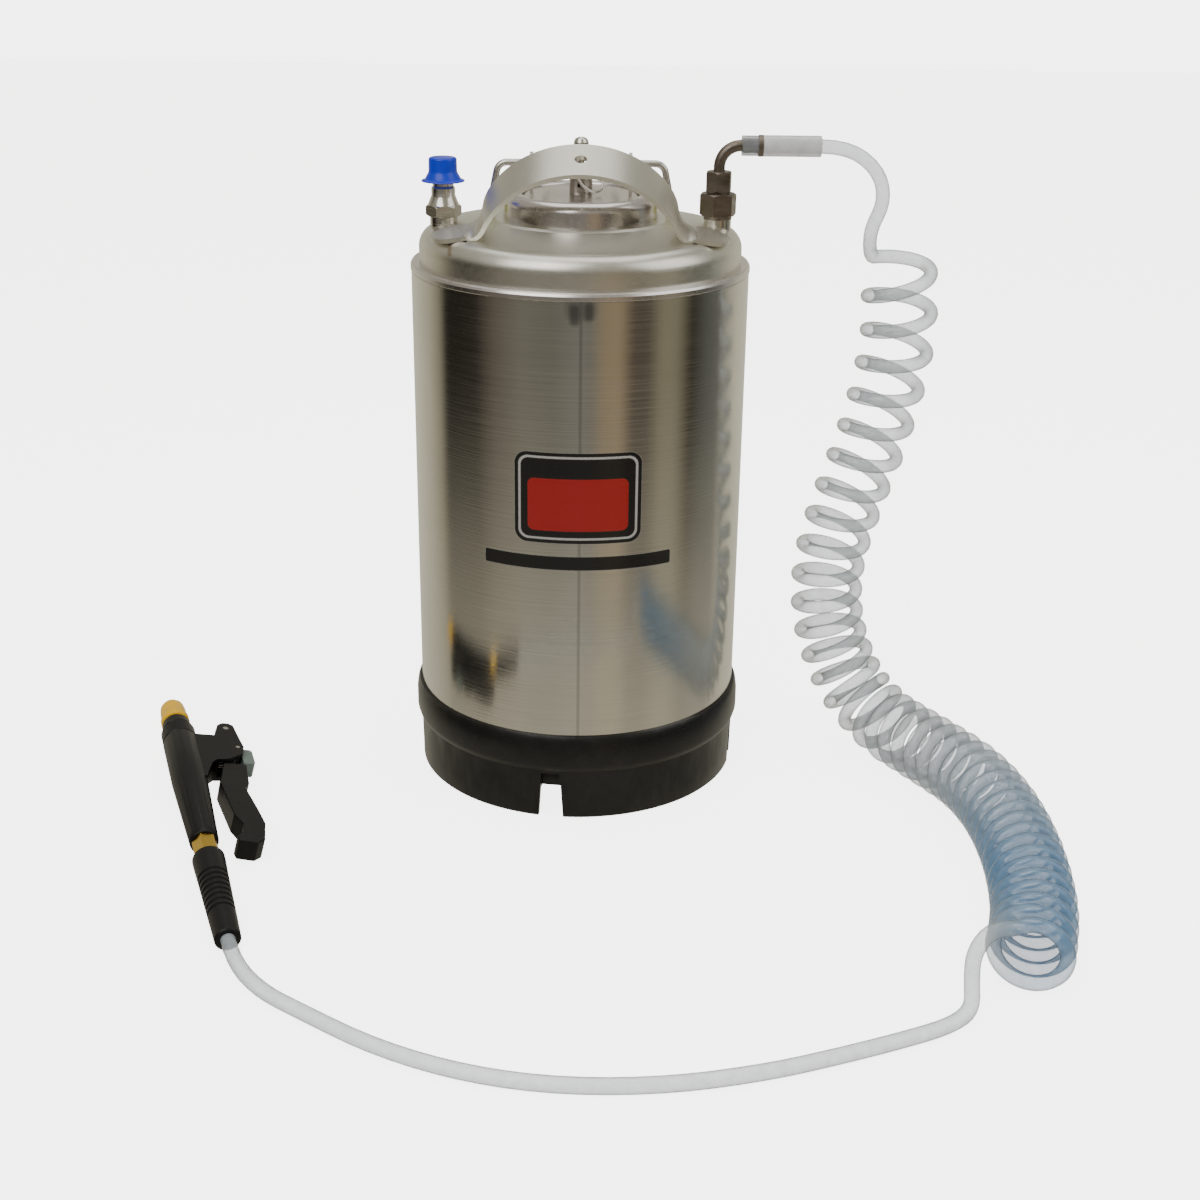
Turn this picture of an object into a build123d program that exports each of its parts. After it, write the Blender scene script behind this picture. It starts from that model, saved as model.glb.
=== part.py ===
from build123d import *
import math
import os

# Stainless pressurised sprayer: a floor-standing tank with a bail-latched lid, an air port with a
# dust cap, a liquid port with an elbow, a clear coiled hose and a lever spray gun.
# Millimetres. +Z is up, +X is towards the liquid port, -Y is the front. The origin is on the tank's
# axis, on the floor.

# ---- driving dimensions: tank -------------------------------------------------------------------
TANK_R = 114.3          # outside radius of the shell, 9 in across
WALL = 1.5              # sheet thickness of shell and heads
SHELL_LOW = 45.0        # lower end of the straight shell
SHELL_TOP = 361.0       # upper end of the straight shell
BEAD_H = 5.5            # height of the rolled flange between shell and top head
BEAD_PROUD = 0.5        # how far the flange stands out of the shell
HEAD_INSET = 5.5        # how far the top head's wall stands inside the shell
HEAD_WALL_H = 10.0      # straight part of the head's wall
SHOULDER_R = 12.0       # knuckle of the top head
HEAD_RISE = 7.5         # rise of the top head from its knuckle to the opening
DECK_STEP_R = 64.0      # radius of the small step round the opening
DECK_STEP = 1.2
LOW_HEAD_DEPTH = 24   # depth of the bottom head below the shell
LOW_KNUCKLE = 20.0
LOW_DISH = 8.0

# ---- opening, lid and bail ----------------------------------------------------------------------
OPEN_X = 40.0           # half width of the oval opening
OPEN_Y = 45.5           # half depth of the oval opening
COLLAR_W = 12.0         # width of the rolled collar
COLLAR_H = 16.0         # height of the rolled collar
COLLAR_ROLL = 7.0       # rounding of the collar's outer edge
LID_LAP = 3.8           # how far the lid's flange reaches under the opening
LID_GAP = 0.8           # clearance between lid and opening
LID_T = 1.8             # thickness of the lid plate
LID_EDGE = 4.0
GASKET_T = 3.0          # thickness of the lid gasket
SEAL_GAP = 0.3          # clearance left under the head, taken up by the seal in use
EAR_X = 33.0            # half spacing of the hinge ears
EAR_T = 2.2
EAR_W = 14.0
EAR_RISE = 20.0         # hinge axis above the lid
WIRE_R = 2.3            # bail wire
HINGE_FIT = 0.08        # radial clearance of a running fit
BAIL_SHOULDER = 55.0    # half width of the bail at its shoulders
BAIL_FOOT = 61.5        # half width of the bail at its feet
LEVER_X = 25.0          # half width of the lever loop
LEVER_REACH = 46.0      # reach of the lever loop behind the hinge
LEVER_DROP = 10.0       # fall of the lever loop
BAIL_BEND = 7.0
FOOT_R = 4.2
FOOT_GAP = 0.85         # the feet tip downwards a little before they lift
FOOT_H = 10.0

# ---- relief valve -------------------------------------------------------------------------------
VALVE_R = 7.7
VALVE_H = 18.0
VALVE_NUT = 19.0        # across flats of the nut under the lid
VALVE_NUT_H = 6.0
VALVE_TOP_T = 2.0       # top plate the stem runs through
VENT_Z = 6.6            # exhaust window above the lid
SEAL_T = 1.2
VALVE_THREAD_R = 6.5
VALVE_BORE = 4.9
VALVE_SEAT_R = 3.4
VENT_R = 2.4
STEM_R = 2.4
STEM_CAP_R = 5.0
STEM_TOP = 37.0         # top of the stem's cap above the lid
RELIEF_LIFT = 3.0
RING_WIRE = 0.9
RING_R = 12.0           # mean radius of the pull ring
RING_BEARING = 50.0     # bearing of the hole it hangs in
RING_DIP = 55.0         # how far it hangs below level
RING_HOLE_Z = 22.2      # hole above the lid
RING_FIT = 0.3

# ---- ports --------------------------------------------------------------------------------------
PORT_X = 92.0           # distance of both ports from the axis
POST_R = 7.0            # neck of the gas post
POST_COLLAR_R = 8.0
POST_HEX = 21.0         # across flats of its base
POST_HEX_H = 7.4
POST_H = 36.8           # height of the post above its boss
POST_RING_DROP = 6.5    # o-ring below the top of the post
POST_RING_R = 1.0       # section radius of that o-ring
BOSS_R = 9.2
BOSS_UP = 5.4
BOSS_DOWN = 4.0         # how far the bosses reach below the head
PORT_BORE = 6.5
POPPET_BORE = 4.2
POPPET_R = 1.6
POPPET_HEAD_H = 3.0
POPPET_SEAT = 4.0       # seat below the top of the post
POPPET_SHY = 1.2        # stem tip below the top of the post
CAP_R = 9.6
CAP_BRIM_R = 14.5
CAP_H = 15.9
CAP_WALL = 1.4
GAS_TUBE_L = 40.0
DIP_TUBE_R = 4.0
DIP_FLOOR_GAP = 12.0
NUT_LOW = 22.0          # across flats of the lower nut
NUT_LOW_Z = (2.2, 16.9) # lower nut above its boss
ADAPTER_TOP = 17.6      # seat of the upper nut above the boss
NUT_UP = 16.0           # across flats of the upper nut
NUT_UP_H = 13.6
ELBOW_R = 3.8
ELBOW_BEND = 14.0
ELBOW_Z = 442.8         # height of the elbow's outlet

# ---- hose ---------------------------------------------------------------------------------------
HOSE_R = 4.75           # outside radius of the hose
HOSE_BORE = 3.2         # inside radius of the hose
COIL_R = 26.5           # outside radius of the coiled stretch
SLEEVE_R = 6.9
SLEEVE_X0 = 120.5
SLEEVE_X1 = 159.0
FERRULE_X0 = 106.5
CUFF_R = 6.6
BAND_W = 3.0

# ---- boot ---------------------------------------------------------------------------------------
BOOT_TOP = 63.0
BOOT_BASE_R = 114.4
BOOT_LIP_R = 118.0
BOOT_LIP_H = 27.0
BOOT_WALL = 5.0
BOOT_RECESS = 20.0
BOOT_LEDGE = 10.0       # width of the ledge under the bottom head
NOTCH_LOW_W = 17.5
NOTCH_TOP_W = 13.0
NOTCH_H = 34.0
NOTCH_TURN = -98.8      # bearing of the front notch from +X
NOTCHES = 4

# ---- carry handle -------------------------------------------------------------------------------
STRAP_W = 32.0
STRAP_T = 3.0
ARCH_R = 66.5           # mean radius of the arch
ARCH_RISE = 58.0        # crown of the arch above the pads, along its own plane
ARCH_HALF = 62.0        # half angle of the arch before the legs bend
ARCH_LEAN = 28.0        # forward lean of the arch
ARCH_Y = -46.0          # where the arch springs from
ARCH_HOLE = 4.0
PAD_X = 81.0            # centre of the pad's rounded end
PAD_IN = 6.0            # straight part of the pad
LEG_PULL = (10.0, 12.0) # how long the leg keeps the arch's and the pad's direction
LEG_STEPS = 5

# ---- spray gun, along its own axis from the hose end ---------------------------------------------
GUN_FROM = Vector(-207.6, -285.8, 9.5)
GUN_TO = Vector(-304.6, 3.3, 33.0)
GUN_ROLL = 14.0         # trigger side turned down towards the floor
GUARD_L = 88.0
GUARD_R0 = 8.2
GUARD_R1 = 10.5
GRIP_S = 108.0          # where the grip starts
GRIP_R0 = 9.5
GRIP_R1 = 12.2
HOUSE_S = 181.0
FRONT_S = 240.0
HOUSE_Y = 9.0           # half thickness of the valve housing
SLOT_Y = 6.0            # half width of the lever slot
LEVER_Y = 5.6           # half thickness of the lever's arm
PADDLE_Y = 7.5          # half thickness of the lever's paddle
PIVOT = (252.0, 32.6)   # lever pivot: along the gun, out from its axis
LOCK_PIVOT = (225.0, 37.5)
PIN_R = 2.0
LOCK_PIN_R = 1.5
FIT = 0.05              # radial clearance of pins and stems
VALVE_S = 212.0
CHAMBER_R = 5.0
CHAMBER_LOW = -10.5
CHAMBER_TOP = 20.0
GUN_STEM_R = 2.0
NECK_R = 6.5
NECK_L = 14.0
NECK_RING_R = 5.4       # bottom of the o-ring groove in the neck
COLLAR_L = 27.0
TIP_L = 28.0
TIP_R0 = 9.8
TIP_R1 = 8.6
TIP_SHANK = 6.6
CORE_R = 3.6
ORIFICE_R = 1.2
SLOT_FLOOR = 22.0       # floor of the lever slot, out from the axis
SLOT_S = 200.0          # where the slot starts
PASSAGE_R = 4.0
INLET_R = 6.0
INLET_L = 16.0
INLET_CORNER = 8.6
BARB_S = 60.0
GUARD_GROOVES = 8
GROOVE_S = 25.0         # where the first groove of the bend guard starts
GROOVE_PITCH = 5.4
GROOVE_W = 2.6
GROOVE_DEEP = 0.9
PLUG_D = 17.1
PLUG_CORNER = 4.7
PLUG_HEAD_L = 5.0
PLUG_SHANK_L = 6.0
PLUG_R = 3.0
LEVER_BOSS = 4.9
LOCK_BOSS = 3.2
SEAT_D = 4.0
STEM_OUT = 26.3
CLEAR = 0.3             # clearance between moving pieces
HOUSE_OUTLINE = [(181, 0), (181, 10), (188, 12), (200, 16), (205, 20), (206, 27), (210, 33),
                 (216, 40), (226, 42), (233, 41), (257, 38.5), (259.5, 35), (259.5, 31),
                 (256, 27), (246, 24), (240, 22.8), (240, 0)]
LEVER_OUTLINE = [(252, 27.8), (244, 28), (205, 26.5), (190, 24), (190, 36), (205, 34), (240, 34),
                 (252, 37.3)]
PADDLE_OUTLINE = [(203, 24.5), (176, 18.5), (135, 22), (123, 26.5), (114, 25.5), (108, 20.2),
                  (102, 21), (100, 33), (105, 38.5), (126, 42), (142, 40), (171, 35.5),
                  (178, 39), (203, 41)]
LOCK_OUTLINE = [(208, 40.2), (228, 40.2), (228, 47), (226, 48.5), (210, 48.5), (208, 47)]

# ---- routes of the hose -------------------------------------------------------------------------
LEAD = [(159, 0, 442.8), (178, 0, 442.8), (199, 0, 427), (204, 0, 407), (195, 0, 388),
        (193.3, 0, 372)]
HANG = [(215, 0, 372), (221, 2, 334), (218, 4, 290), (208, 6, 242), (193, 8, 194),
        (183, 12, 150), (183, 15, 112), (191, 15, 78), (207, 9, 45), (229, -14, 27.2),
        (242.5, -37.4, 27.02)]
LAID = [(242.5, -37.4, 27.02), (259, -66, 26.8), (276, -98, 26.8), (286, -143, 26.8),
        (288, -195, 26.8), (284, -245, 26.8), (276, -290, 26.8), (263.7, -325.3, 26.8)]
TAIL = [(253.5, -327.3, 47.5), (238, -331.5, 49), (228.5, -335.5, 36), (228, -340, 20),
        (228, -349, 7.5), (214, -361, 4.9), (185, -374.5, 4.8), (148, -389.5, 4.8),
        (105, -405, 4.8), (50, -417, 4.8), (-8, -418, 4.8), (-60, -407, 4.8),
        (-110, -384, 4.8), (-155, -351, 4.8), (-180.5, -333, 5.9),
        tuple(GUN_FROM - (GUN_TO - GUN_FROM).normalized() * 22), tuple(GUN_FROM)]

# ---- heights that follow ------------------------------------------------------------------------
BEAD_TOP = SHELL_TOP + BEAD_H
HEAD_R = TANK_R - HEAD_INSET
KNUCKLE_Z = BEAD_TOP + HEAD_WALL_H
DECK_Z = KNUCKLE_Z + SHOULDER_R                 # where the shoulder meets the deck
OPENING_Z = DECK_Z + HEAD_RISE                  # top of the head at the opening
COLLAR_X = OPEN_X + COLLAR_W
COLLAR_Y = OPEN_Y + COLLAR_W
COLLAR_TOP = OPENING_Z + COLLAR_H
LID_TOP = COLLAR_TOP - 1.6
HINGE_Z = LID_TOP + EAR_RISE
FLANGE_Z = OPENING_Z - WALL - SEAL_GAP - GASKET_T
FOOT_Z = OPENING_Z + FOOT_GAP
SHOULDER_X = HEAD_R - SHOULDER_R                # where the deck meets the shoulder
DECK_SLOPE = math.atan2(HEAD_RISE - DECK_STEP, SHOULDER_X - DECK_STEP_R)
PORT_Z = DECK_Z + (SHOULDER_X - PORT_X) * math.tan(DECK_SLOPE)
BOSS_LOW = PORT_Z - WALL - BOSS_DOWN
BOSS_TOP = PORT_Z + BOSS_UP
POST_TOP = BOSS_TOP + POST_H
POST_RING_Z = POST_TOP - POST_RING_DROP
POPPET_TOP = POST_TOP - POPPET_SEAT - CLEAR     # top of the poppet's head
GAS_TUBE_TOP = PORT_Z - WALL
CAP_BORE = POST_R + POST_RING_R - 0.2 + CLEAR   # clears the o-ring on the way off
CAP_LOW = POST_TOP + CLEAR + CAP_WALL - CAP_H
NUT_UP_LOW = BOSS_TOP + ADAPTER_TOP
HEAD_LOW = SHELL_LOW - LOW_HEAD_DEPTH           # lowest point of the bottom head
PAD_Z = DECK_Z + STRAP_T / 2
BORE_LOW = LID_TOP - 2.0                        # floor of the relief valve's bore
SEAL_TOP = BORE_LOW + SEAL_T
PISTON_LOW = SEAL_TOP + CLEAR
PISTON_H = 2.2
VALVE_NUT_LOW = LID_TOP - LID_T - VALVE_NUT_H
NECK_END = FRONT_S + NECK_L
COLLAR_END = FRONT_S + COLLAR_L


def write(shape, node):
    export_step(shape, f"parts/{node}.step")


def turned(points):
    """Solid of revolution about the Z axis from (radius, height) points."""
    outline = Polyline(*[(r, 0, z) for r, z in points], close=True)
    return revolve(make_face(outline), Axis.Z, 360)


def disc(radius, low, high, x=0.0, y=0.0):
    return Pos(x, y, low) * Cylinder(radius, high - low, align=(Align.CENTER, Align.CENTER, Align.MIN))


def ring(outer, inner, low, high, x=0.0, y=0.0):
    return disc(outer, low, high, x, y) - disc(inner, low - 1, high + 1, x, y)


def oval(half_x, half_y, low, high):
    return Pos(0, 0, low) * extrude(Ellipse(half_x, half_y), high - low)


def hexagon(flats, low, high, x=0.0, turn=0.0):
    """Hexagonal prism with its corners turned down top and bottom."""
    corner = flats / math.sqrt(3)
    prism = Pos(x, 0, low) * Rot(0, 0, turn) * extrude(RegularPolygon(corner, 6), high - low)
    dome = turned([(0, low), (flats / 2, low), (corner, low + 1.2), (corner, high - 1.2),
                   (flats / 2, high), (0, high)])
    return prism & (Pos(x, 0, 0) * dome)


def coil_spring(radius, wire, low, high, turns, x=0.0):
    path = Helix(pitch=(high - low - 2 * wire) / turns, height=high - low - 2 * wire, radius=radius)
    section = Plane(origin=path @ 0, z_dir=path % 0) * Circle(wire)
    return Pos(x, 0, low + wire) * sweep(section, path)


def route_radii(points):
    radii = []
    for a, b, c in zip(points, points[1:], points[2:]):
        before, after = Vector(*b) - Vector(*a), Vector(*c) - Vector(*b)
        half_turn = math.radians(before.get_angle(after)) / 2
        radii.append(0.45 * min(before.length, after.length) / math.tan(half_turn))
    return radii


def tube(name, points, outer, inner=0.0):
    """Hose of straight runs joined by tangent arcs."""
    radii = route_radii(points)
    path = FilletPolyline(*points, radius=radii)
    section = Circle(outer) - Circle(inner) if inner else Circle(outer)
    solid = sweep(Plane(origin=path @ 0, z_dir=path % 0) * section, path)
    area = math.pi * (outer ** 2 - inner ** 2)
    print(name, "length", round(path.length, 1), "volume ratio",
          round(solid.volume / (area * path.length), 4), "radii", [round(r) for r in radii])
    return solid


# ---- tank ---------------------------------------------------------------------------------------
def tank_shell():
    return ring(TANK_R, TANK_R - WALL, SHELL_LOW, SHELL_TOP)


def seam_bead():
    outer = TANK_R + BEAD_PROUD
    inner = HEAD_R - WALL
    return turned([(inner, SHELL_TOP), (outer - 0.8, SHELL_TOP), (outer, SHELL_TOP + 0.8),
                   (outer, BEAD_TOP - 2.2), (outer - 0.7, BEAD_TOP - 0.7),
                   (outer - 2.2, BEAD_TOP), (inner, BEAD_TOP)])


def head_skin(offset):
    """Solid under the top head's outer skin, shrunk by offset."""
    radius = SHOULDER_R - offset
    side = HEAD_R - offset
    mid = radius * math.sqrt(0.5)
    centre_r = HEAD_R - SHOULDER_R
    deck = Polyline((0, OPENING_Z - offset), (DECK_STEP_R - 3, OPENING_Z - offset),
                    (DECK_STEP_R, OPENING_Z - offset - DECK_STEP), (centre_r, KNUCKLE_Z + radius))
    bend = ThreePointArc((centre_r, KNUCKLE_Z + radius), (centre_r + mid, KNUCKLE_Z + mid),
                         (side, KNUCKLE_Z))
    wall = Polyline((side, KNUCKLE_Z), (side, BEAD_TOP), (0, BEAD_TOP), (0, OPENING_Z - offset))
    return revolve(make_face(Plane.XZ * (deck + bend + wall)), Axis.Z, 360)


def top_head():
    head = head_skin(0) - head_skin(WALL)
    head -= oval(OPEN_X, OPEN_Y, BEAD_TOP, OPENING_Z + 1)
    for side in (-1, 1):
        head -= disc(BOSS_R, BEAD_TOP, OPENING_Z, side * PORT_X)
    return head


def opening_collar():
    body = oval(COLLAR_X, COLLAR_Y, OPENING_Z, COLLAR_TOP)
    body = fillet(body.edges().group_by(Axis.Z)[-1], COLLAR_ROLL)
    body -= oval(OPEN_X, OPEN_Y, OPENING_Z - 1, COLLAR_TOP + 1)
    return fillet(body.edges().group_by(Axis.Z)[-1], COLLAR_ROLL / 3)


def bottom_skin(offset):
    """Solid inside the bottom head's outer skin, shrunk by offset: a dish with rolled sides."""
    side = TANK_R - offset
    low = HEAD_LOW + offset
    knee_r = side - LOW_KNUCKLE
    dish_r = (knee_r ** 2 + LOW_DISH ** 2) / (2 * LOW_DISH)
    half_r = knee_r / 2
    half_z = low + dish_r - math.sqrt(dish_r ** 2 - half_r ** 2)
    dish = ThreePointArc((0, low), (half_r, half_z), (knee_r, low + LOW_DISH))
    bend = ThreePointArc((knee_r, low + LOW_DISH), (side - LOW_KNUCKLE / 4, SHELL_LOW - LOW_KNUCKLE / 2),
                         (side, SHELL_LOW))
    wall = Polyline((side, SHELL_LOW), (0, SHELL_LOW), (0, low))
    return revolve(make_face(Plane.XZ * (dish + bend + wall)), Axis.Z, 360)


def bottom_head():
    return bottom_skin(0) - bottom_skin(WALL)


def rubber_boot():
    lip_z = BOOT_TOP - BOOT_LIP_H
    inner = BOOT_BASE_R - BOOT_WALL
    boot = turned([(inner - BOOT_LEDGE, SHELL_LOW), (TANK_R, SHELL_LOW), (TANK_R, BOOT_TOP),
                   (TANK_R + 1.6, BOOT_TOP), (BOOT_LIP_R - 0.8, BOOT_TOP - 3.5),
                   (BOOT_LIP_R, BOOT_TOP - 9), (BOOT_LIP_R, lip_z + 6),
                   (BOOT_LIP_R - 1.2, lip_z + 2), (BOOT_BASE_R + 0.6, lip_z),
                   (BOOT_BASE_R, 1.5), (BOOT_BASE_R - 1.5, 0), (inner, 0), (inner, BOOT_RECESS),
                   (inner - BOOT_LEDGE, BOOT_RECESS)])
    boot -= bottom_skin(0)
    half_low, half_top = NOTCH_LOW_W / 2, NOTCH_TOP_W / 2
    notch = Polyline((-half_low, -1), (half_low, -1), (half_top, NOTCH_H), (-half_top, NOTCH_H),
                     close=True)
    cut = extrude(Plane.YZ * make_face(notch), 2 * TANK_R)
    cut -= disc(inner - BOOT_WALL, -2, NOTCH_H + 1)
    for i in range(NOTCHES):
        boot -= Rot(0, 0, NOTCH_TURN + i * 360 / NOTCHES) * cut
    return boot


# ---- carry handle -------------------------------------------------------------------------------
def lean_plane():
    """Plane of the arch, on the deck at the middle of the handle, Y up along the lean."""
    a = math.radians(ARCH_LEAN)
    return Plane(origin=(0, ARCH_Y, PAD_Z), x_dir=(1, 0, 0), z_dir=(0, -math.cos(a), -math.sin(a)))


def arch_point(radius, angle):
    return (radius * math.sin(angle), ARCH_RISE - ARCH_R + radius * math.cos(angle))


def handle_arch():
    a = math.radians(ARCH_HALF)
    low, high = ARCH_R - STRAP_T / 2, ARCH_R + STRAP_T / 2
    outline = ThreePointArc(arch_point(high, -a), arch_point(high, 0), arch_point(high, a))
    outline += Line(arch_point(high, a), arch_point(low, a))
    outline += ThreePointArc(arch_point(low, a), arch_point(low, 0), arch_point(low, -a))
    outline += Line(arch_point(low, -a), arch_point(high, -a))
    return extrude(lean_plane() * make_face(outline), STRAP_W / 2, both=True)


def pad_plane():
    """Plane of the right-hand pad, resting on the sloping deck, X pointing outwards."""
    radial = Vector(PAD_X, ARCH_Y, 0)
    height = DECK_Z + (SHOULDER_X - radial.length) * math.tan(DECK_SLOPE)
    normal = radial.normalized() * math.sin(DECK_SLOPE) + Vector(0, 0, math.cos(DECK_SLOPE))
    out = (Vector(1, 0, 0) - normal * normal.X).normalized()
    return Plane(origin=Vector(PAD_X, ARCH_Y, height) + normal * (STRAP_T / 2),
                 x_dir=out, z_dir=normal)


def curve_point(ctrl, t):
    """Point at t on the Bezier curve with these control points."""
    while len(ctrl) > 1:
        ctrl = [a * (1 - t) + b * t for a, b in zip(ctrl, ctrl[1:])]
    return ctrl[0]


def strap_section(centre, along, across):
    along = along.normalized()
    across = (across - along * across.dot(along)).normalized()
    return Plane(origin=centre, x_dir=across, z_dir=along) * Rectangle(STRAP_W, STRAP_T)


def handle_leg():
    """Right-hand leg: twists from the end of the arch down onto its pad."""
    lean, pad = lean_plane(), pad_plane()
    a = math.radians(ARCH_HALF)
    down = lean.x_dir * math.cos(a) - lean.y_dir * math.sin(a)
    start = Vector(*lean.from_local_coords((*arch_point(ARCH_R, a), 0)))
    heel = pad.origin - pad.x_dir * PAD_IN
    ctrl = [start, start + down * LEG_PULL[0], heel - pad.x_dir * LEG_PULL[1], heel]
    sections = []
    for i in range(LEG_STEPS + 1):
        t = i / LEG_STEPS
        step = [b - a for a, b in zip(ctrl, ctrl[1:])]
        turn = t * t * (3 - 2 * t)
        across = lean.z_dir * (1 - turn) - pad.y_dir * turn
        sections.append(strap_section(curve_point(ctrl, t), curve_point(step, t), across))
    return loft(sections)


def handle_pad():
    half = STRAP_W / 2
    outline = Polyline((0, half), (-PAD_IN, half), (-PAD_IN, -half), (0, -half))
    outline += ThreePointArc((0, -half), (half, 0), (0, half))
    return extrude(pad_plane() * make_face(outline), STRAP_T / 2, both=True)


def carry_handle():
    side = handle_leg() + handle_pad()
    lean = lean_plane()
    crown = lean.from_local_coords((0, ARCH_RISE, 0))
    hole = Plane(origin=crown, z_dir=lean.y_dir).location * Cylinder(ARCH_HOLE, 4 * STRAP_T)
    return handle_arch() + side + mirror(side, Plane.YZ) - hole - head_skin(0)


# ---- lid, bail and relief valve -----------------------------------------------------------------
def lid_plate():
    top_x, top_y = OPEN_X - LID_GAP, OPEN_Y - LID_GAP
    body = oval(OPEN_X + LID_LAP, OPEN_Y + LID_LAP, FLANGE_Z - LID_T, FLANGE_Z)
    dome = oval(top_x, top_y, FLANGE_Z - LID_T, LID_TOP)
    body += fillet(dome.edges().group_by(Axis.Z)[-1], LID_EDGE)
    inside = oval(top_x - LID_T, top_y - LID_T, FLANGE_Z - 2 * LID_T, LID_TOP - LID_T)
    body -= fillet(inside.edges().group_by(Axis.Z)[-1], LID_EDGE - 1)
    return body - disc(VALVE_THREAD_R, FLANGE_Z - 2 * LID_T, LID_TOP + 1)


def lid_gasket():
    return (oval(OPEN_X + LID_LAP, OPEN_Y + LID_LAP, FLANGE_Z, FLANGE_Z + GASKET_T)
            - oval(OPEN_X - LID_GAP, OPEN_Y - LID_GAP, FLANGE_Z - 1, FLANGE_Z + GASKET_T + 1))


def hinge_ears():
    ears = []
    for side in (-1, 1):
        plate = Pos(side * EAR_X, 0, (LID_TOP + HINGE_Z) / 2) * Box(EAR_T, EAR_W, HINGE_Z - LID_TOP)
        plate += Pos(side * EAR_X, 0, HINGE_Z) * Rot(0, 90, 0) * Cylinder(EAR_W / 2, EAR_T)
        plate -= Pos(side * EAR_X, 0, HINGE_Z) * Rot(0, 90, 0) * Cylinder(WIRE_R + HINGE_FIT, 3 * EAR_T)
        ears.append(plate)
    return Compound(children=ears)


def bail_points():
    half = [(LEVER_X, LEVER_REACH, HINGE_Z - LEVER_DROP), (LEVER_X, 0, HINGE_Z),
            (BAIL_SHOULDER, 0, HINGE_Z), (BAIL_FOOT, 0, FOOT_Z + FOOT_H * 0.3)]
    left = [(-x, y, z) for x, y, z in reversed(half)]
    return left + half


def bail():
    path = FilletPolyline(*bail_points(), radius=BAIL_BEND)
    section = Plane(origin=path @ 0, z_dir=path % 0) * Circle(WIRE_R)
    return sweep(section, path)


def bail_feet():
    feet = []
    for side in (-1, 1):
        low = Vector(side * BAIL_FOOT, 0, FOOT_Z + FOOT_H * 0.3)
        up = (Vector(side * BAIL_SHOULDER, 0, HINGE_Z) - low).normalized()
        place = Plane(origin=low - up * (FOOT_H * 0.25), z_dir=up).location
        sock = place * Cylinder(FOOT_R, FOOT_H, align=(Align.CENTER, Align.CENTER, Align.MIN))
        sock -= Plane(origin=low, z_dir=up).location * Cylinder(
            WIRE_R, 2 * FOOT_H, align=(Align.CENTER, Align.CENTER, Align.MIN))
        feet.append(sock)
    return Compound(children=feet)


def relief_body():
    top = LID_TOP + VALVE_H
    body = disc(VALVE_R, LID_TOP, top) + disc(VALVE_THREAD_R, VALVE_NUT_LOW, LID_TOP)
    body -= disc(VALVE_BORE, BORE_LOW, top - VALVE_TOP_T)
    body -= disc(VALVE_SEAT_R, VALVE_NUT_LOW - 1, LID_TOP)
    body -= disc(STEM_R + FIT, LID_TOP, top + 1)
    window = Pos(0, 0, LID_TOP + VENT_Z) * Rot(90, 0, 0) * Cylinder(VENT_R, 3 * VALVE_R)
    return body - window


def relief_nut():
    nut = hexagon(VALVE_NUT, VALVE_NUT_LOW, VALVE_NUT_LOW + VALVE_NUT_H)
    return nut - disc(VALVE_THREAD_R, VALVE_NUT_LOW - 1, LID_TOP)


def relief_seal():
    return ring(VALVE_BORE, VALVE_SEAT_R, BORE_LOW, SEAL_TOP)


def relief_stem():
    cap = turned([(0, STEM_TOP - 6), (STEM_CAP_R - 0.6, STEM_TOP - 6), (STEM_CAP_R, STEM_TOP - 5.4),
                  (STEM_CAP_R, STEM_TOP - 3.4), (STEM_CAP_R * 0.8, STEM_TOP - 1.2),
                  (STEM_CAP_R * 0.4, STEM_TOP - 0.2), (0, STEM_TOP)])
    stem = disc(STEM_R, PISTON_LOW, LID_TOP + STEM_TOP - 3) + Pos(0, 0, LID_TOP) * cap
    stem += disc(VALVE_BORE - CLEAR, PISTON_LOW, PISTON_LOW + PISTON_H)
    hole = Cylinder(RING_WIRE + RING_FIT, 3 * STEM_R)
    return stem - Pos(0, 0, LID_TOP + RING_HOLE_Z) * Rot(0, 0, RING_BEARING) * Rot(0, 90, 0) * hole


def relief_spring():
    return coil_spring(STEM_R + 1.3, 0.45, PISTON_LOW + PISTON_H, LID_TOP + VALVE_H - VALVE_TOP_T, 5)


def pull_ring():
    """Wire ring hanging from the cross hole in the stem."""
    place = Pos(0, 0, LID_TOP + RING_HOLE_Z) * Rot(0, 0, RING_BEARING) * Rot(RING_DIP, 0, 0)
    return place * Pos(0, -RING_R, 0) * Torus(RING_R, RING_WIRE)


# ---- ports --------------------------------------------------------------------------------------
def port_boss(x):
    return ring(BOSS_R, PORT_BORE, BOSS_LOW, BOSS_TOP, x)


def gas_post():
    hex_top = BOSS_TOP + POST_HEX_H
    post = hexagon(POST_HEX, BOSS_TOP, hex_top, 0, 10)
    post += turned([(0, hex_top), (POST_HEX / 2, hex_top), (POST_COLLAR_R, hex_top + 6.3),
                    (POST_COLLAR_R, hex_top + 11), (POST_R, hex_top + 12.5), (POST_R, POST_TOP - 1),
                    (POST_R - 1, POST_TOP), (0, POST_TOP)])
    post += disc(PORT_BORE, BOSS_LOW, BOSS_TOP)
    post -= disc(POPPET_BORE, BOSS_LOW - 1, POST_TOP - POPPET_SEAT)
    post -= disc(POPPET_R + FIT, BOSS_TOP, POST_TOP + 1)
    groove = ring(POST_R + 1, POST_R - 1.2, POST_RING_Z - 1.1, POST_RING_Z + 1.1)
    return Pos(-PORT_X, 0, 0) * (post - groove)


def gas_post_oring():
    return Pos(-PORT_X, 0, POST_RING_Z) * Torus(POST_R - 0.2, POST_RING_R)


def gas_poppet():
    head_low = POPPET_TOP - POPPET_HEAD_H
    stem = disc(POPPET_R, head_low, POST_TOP - POPPET_SHY, -PORT_X)
    return stem + disc(POPPET_BORE - CLEAR, head_low, POPPET_TOP, -PORT_X)


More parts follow.
